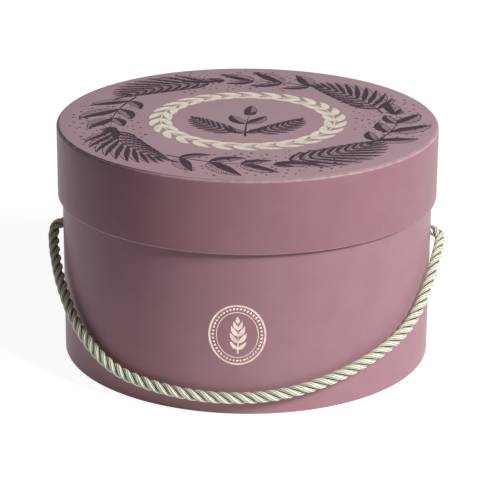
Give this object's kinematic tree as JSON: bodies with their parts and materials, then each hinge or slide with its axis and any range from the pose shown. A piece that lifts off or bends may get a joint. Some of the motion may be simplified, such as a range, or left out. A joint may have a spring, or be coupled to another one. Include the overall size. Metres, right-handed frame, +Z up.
{
  "type": "round gift box",
  "caption": "Squat round gift box of paper-covered board with a deep lift-off lid and a twisted cord handle knotted inside the drum.",
  "frame": {"origin": "centre of the underside, on the surface the box stands on", "axes": "+Z up along the drum's axis, -Y towards the front where the cord's loop hangs, X through the two cord holes"},
  "size_m": [0.2648, 0.2552, 0.156],
  "materials": {
    "covering_paper": "satin laminated",
    "lining_paper": "matte",
    "greyboard": "raw",
    "satin_cord": "satin twisted",
    "clear_tape": "satin"
  },
  "bodies": {
    "drum": {"drum_tube": "greyboard", "drum_floor": "greyboard", "drum_wrap": "covering_paper", "drum_lining": "lining_paper", "floor_lining": "lining_paper", "underside_sheet": "covering_paper"},
    "lid": {"lid_ring": "greyboard", "lid_disc": "greyboard", "lid_wrap": "covering_paper", "lid_top_sheet": "covering_paper", "lid_band_lining": "lining_paper", "lid_disc_lining": "lining_paper"},
    "handle": {"cord_span": "satin_cord", "left_knot": "satin_cord", "right_knot": "satin_cord", "left_tail": "satin_cord", "right_tail": "satin_cord", "left_end_tape": "clear_tape", "right_end_tape": "clear_tape"}
  },
  "joints": [
    {"name": "lid_lift", "type": "slide", "parent": "drum", "child": "lid", "axis": [0, 0, 1], "range_m": [0, 0.2]},
    {"name": "handle_swing", "type": "hinge", "parent": "drum", "child": "handle", "pos_m": [0, 0, 0.0825], "axis": [-1, 0, 0], "range_deg": [0, 45]}
  ]
}
